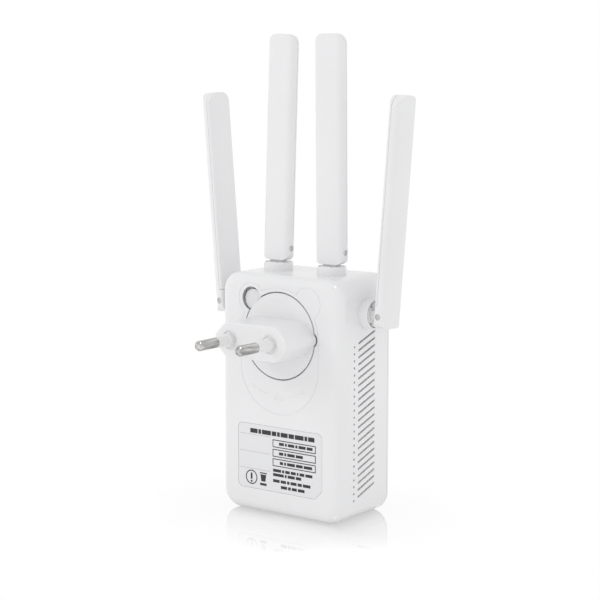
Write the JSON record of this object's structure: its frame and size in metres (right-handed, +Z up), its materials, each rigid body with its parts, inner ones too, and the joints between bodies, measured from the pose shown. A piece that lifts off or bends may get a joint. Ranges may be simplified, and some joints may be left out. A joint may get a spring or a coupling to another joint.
{
  "type": "wifi range extender",
  "caption": "Wall-plug wifi range extender with a white box body, folding swivel antennas, a turning mains plug module, vents, network sockets and a release button.",
  "frame": {"origin": "centre of the flat underside of the housing", "axes": "+Z up, +Y out of the rear face along the mains plug's pins, -Y out of the front face with the lamps; +X completes a right-handed frame"},
  "size_m": [0.0942, 0.0715, 0.1849],
  "materials": {
    "housing_white": "semi-gloss",
    "button_white": "semi-gloss",
    "plug_white": "semi-gloss",
    "sleeve_white": "satin",
    "pin_metal": "polished",
    "label_film": "satin",
    "collar_white": "semi-gloss",
    "neck_white": "semi-gloss",
    "antenna_white": "semi-gloss",
    "hinge_steel": "satin",
    "radiator_laminate": "satin",
    "lead_jacket": "satin",
    "board_laminate": "satin",
    "screw_steel": "satin",
    "chip_black": "matte",
    "shield_steel": "satin",
    "socket_black": "satin",
    "transformer_tape": "satin",
    "capacitor_sleeve": "gloss",
    "resistor_body": "satin",
    "contact_brass": "satin",
    "light_clear": "gloss"
  },
  "bodies": {
    "housing": {"rear_tub": "housing_white", "front_cover": "housing_white", "rating_label": "label_film", "main_board": "board_laminate", "power_board": "board_laminate", "main_board_screws": "screw_steel", "power_board_screws": "screw_steel", "router_chip": "chip_black", "memory_chip": "chip_black", "rf_shield": "shield_steel", "network_socket_left": "socket_black", "network_socket_right": "socket_black", "transformer": "transformer_tape", "input_capacitor": "capacitor_sleeve", "output_capacitor": "capacitor_sleeve", "bridge_rectifier": "chip_black", "fuse_resistor": "resistor_body", "mains_spring_left": "contact_brass", "mains_spring_right": "contact_brass", "light_guide": "light_clear", "status_lamps": "light_clear", "wps_switch": "chip_black", "antenna_connectors": "contact_brass", "release_spring": "screw_steel", "collar_top_left": "collar_white", "antenna_lead_top_left": "lead_jacket", "collar_top_right": "collar_white", "antenna_lead_top_right": "lead_jacket", "collar_side_left": "collar_white", "antenna_lead_side_left": "lead_jacket", "collar_side_right": "collar_white", "antenna_lead_side_right": "lead_jacket"},
    "plug_module": {"plug_body": "plug_white", "plug_pin_left": "pin_metal", "plug_pin_right": "pin_metal", "pin_sleeve_left": "sleeve_white", "pin_sleeve_right": "sleeve_white", "plug_back_plate": "plug_white"},
    "release_button": {"release_button": "button_white"},
    "wps_button": {"wps_button": "button_white"},
    "swivel_top_left": {"swivel_neck_top_left": "neck_white"},
    "antenna_top_left": {"outer_shell_top_left": "antenna_white", "inner_cover_top_left": "antenna_white", "hinge_pin_top_left": "hinge_steel", "radiator_top_left": "radiator_laminate"},
    "swivel_top_right": {"swivel_neck_top_right": "neck_white"},
    "antenna_top_right": {"outer_shell_top_right": "antenna_white", "inner_cover_top_right": "antenna_white", "hinge_pin_top_right": "hinge_steel", "radiator_top_right": "radiator_laminate"},
    "swivel_side_left": {"swivel_neck_side_left": "neck_white"},
    "antenna_side_left": {"outer_shell_side_left": "antenna_white", "inner_cover_side_left": "antenna_white", "hinge_pin_side_left": "hinge_steel", "radiator_side_left": "radiator_laminate"},
    "swivel_side_right": {"swivel_neck_side_right": "neck_white"},
    "antenna_side_right": {"outer_shell_side_right": "antenna_white", "inner_cover_side_right": "antenna_white", "hinge_pin_side_right": "hinge_steel", "radiator_side_right": "radiator_laminate"}
  },
  "joints": [
    {"name": "swivel_top_left", "type": "hinge", "parent": "housing", "child": "swivel_top_left", "pos_m": [-0.0128, 0.0006, 0.0936], "axis": [0, 0, -1], "range_deg": [-90, 90]},
    {"name": "fold_top_left", "type": "hinge", "parent": "swivel_top_left", "child": "antenna_top_left", "pos_m": [-0.0128, 0.0006, 0.1023], "axis": [0.9998, 0.0175, 0], "range_deg": [-0.7, 88.8]},
    {"name": "swivel_top_right", "type": "hinge", "parent": "housing", "child": "swivel_top_right", "pos_m": [0.0128, 0.0006, 0.0936], "axis": [0, 0, 1], "range_deg": [-90, 90]},
    {"name": "fold_top_right", "type": "hinge", "parent": "swivel_top_right", "child": "antenna_top_right", "pos_m": [0.0128, 0.0006, 0.1023], "axis": [0.9988, -0.0488, 0], "range_deg": [-3.8, 85.7]},
    {"name": "swivel_side_left", "type": "hinge", "parent": "housing", "child": "swivel_side_left", "pos_m": [-0.0295, 0, 0.0798], "axis": [-1, 0, 0], "range_deg": [-90, 90]},
    {"name": "fold_side_left", "type": "hinge", "parent": "swivel_side_left", "child": "antenna_side_left", "pos_m": [-0.0382, 0, 0.0798], "axis": [0, 0.9994, 0.0349], "range_deg": [-86.8, 3.2]},
    {"name": "swivel_side_right", "type": "hinge", "parent": "housing", "child": "swivel_side_right", "pos_m": [0.0295, 0, 0.0798], "axis": [1, 0, 0], "range_deg": [-90, 90]},
    {"name": "fold_side_right", "type": "hinge", "parent": "swivel_side_right", "child": "antenna_side_right", "pos_m": [0.0382, 0, 0.0798], "axis": [0, -0.9999, -0.014], "range_deg": [-84.6, 5.4]},
    {"name": "plug_twist", "type": "hinge", "parent": "housing", "child": "plug_module", "pos_m": [0, 0.017, 0.0705], "axis": [0, 1, 0], "range_deg": [0, 30]},
    {"name": "release_press", "type": "slide", "parent": "housing", "child": "release_button", "axis": [0, -1, 0], "range_m": [0, 0.0013], "stiffness_N_per_m": 900, "springref_m": -0.0008, "deforming": ["release_spring"]},
    {"name": "wps_press", "type": "slide", "parent": "housing", "child": "wps_button", "axis": [0, 1, 0], "range_m": [0, 0.0004], "stiffness_N_per_m": 1500, "springref_m": -0.0004}
  ]
}
